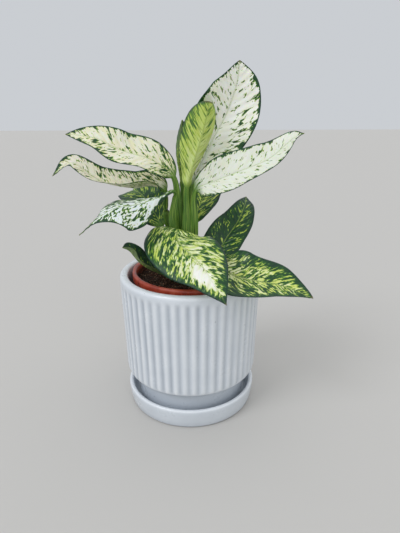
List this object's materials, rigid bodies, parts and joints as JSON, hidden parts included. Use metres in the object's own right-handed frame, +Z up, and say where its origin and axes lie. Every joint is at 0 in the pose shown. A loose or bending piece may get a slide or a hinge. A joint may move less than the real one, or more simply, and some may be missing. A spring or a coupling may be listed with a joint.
{
  "type": "potted chinese evergreen",
  "caption": "House plant with white and green mottled lance-shaped leaves, in a terracotta-coloured growing pot inside a ribbed white glazed planter standing on its own saucer.",
  "frame": {"origin": "centre of the saucer's underside, on the floor", "axes": "+Z up, +X to the right and +Y away from the viewer in the front view"},
  "size_m": [0.2185, 0.1505, 0.3072],
  "materials": {
    "glaze": "smooth cool-white gloss glaze over thrown ribs",
    "pot_plastic": "reddish-brown moulded plastic, semi-gloss",
    "soil": "dark fibrous peat and coir, matt",
    "stem": "smooth green cane, satin",
    "leaf_pale": "satin leaf, mostly cream-white with green flecks and a green margin",
    "leaf_mottled": "satin leaf, green with yellow and cream flecks",
    "leaf_dark": "satin leaf, dark green with a few yellow-green flecks"
  },
  "bodies": {
    "root": {"saucer": "glaze", "planter": "glaze", "growing_pot": "pot_plastic", "soil": "soil", "stem": "stem", "leaf_top": "leaf_pale", "leaf_unfurling": "leaf_mottled", "leaf_rolled": "leaf_mottled", "leaf_right_long": "leaf_pale", "leaf_left_upper": "leaf_pale", "leaf_left_folded": "leaf_pale", "leaf_left_drooping": "leaf_pale", "leaf_front_cascading": "leaf_mottled", "leaf_back_left": "leaf_dark", "leaf_right_dark": "leaf_dark", "leaf_right_low": "leaf_mottled", "leaf_left_small": "leaf_dark", "leaf_back_right": "leaf_dark"}
  },
  "joints": []
}
